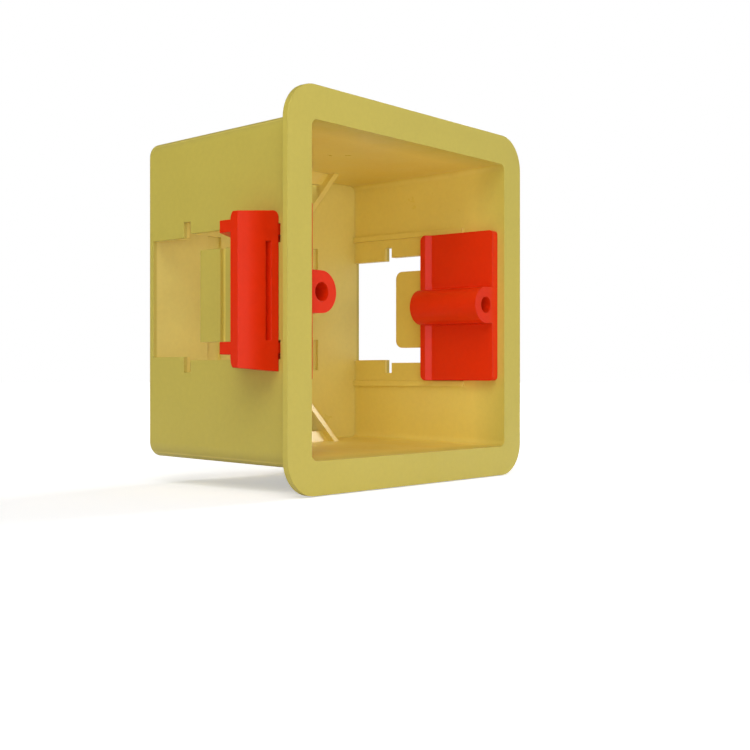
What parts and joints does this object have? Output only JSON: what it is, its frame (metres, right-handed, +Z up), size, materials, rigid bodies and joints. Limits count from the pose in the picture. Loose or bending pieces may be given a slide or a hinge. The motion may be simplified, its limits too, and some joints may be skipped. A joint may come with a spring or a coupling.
{
  "type": "drywall back box",
  "caption": "Square back box for plasterboard walls with a front flange, drafted shell, cable entries and sliding clamp clips that carry the screw bosses.",
  "frame": {"origin": "centre of the opening in the plane of the flange's front face, where the accessory's plate lies", "axes": "+X to the right seen from the front, +Y into the wall, +Z up"},
  "size_m": [0.0938, 0.0504, 0.085],
  "materials": {
    "box_plastic": "satin moulded",
    "clip_plastic": "satin moulded"
  },
  "bodies": {
    "box": {"back_box": "box_plastic"},
    "left_clip": {"clip_left": "clip_plastic"},
    "right_clip": {"clip_right": "clip_plastic"}
  },
  "joints": [
    {"name": "clip_left_slide", "type": "slide", "parent": "box", "child": "left_clip", "axis": [0.0175, 0.9998, 0], "range_m": [-0.0004, 0.0169]},
    {"name": "clip_right_slide", "type": "slide", "parent": "box", "child": "right_clip", "axis": [-0.0175, 0.9998, 0], "range_m": [-0.0004, 0.0169]}
  ]
}
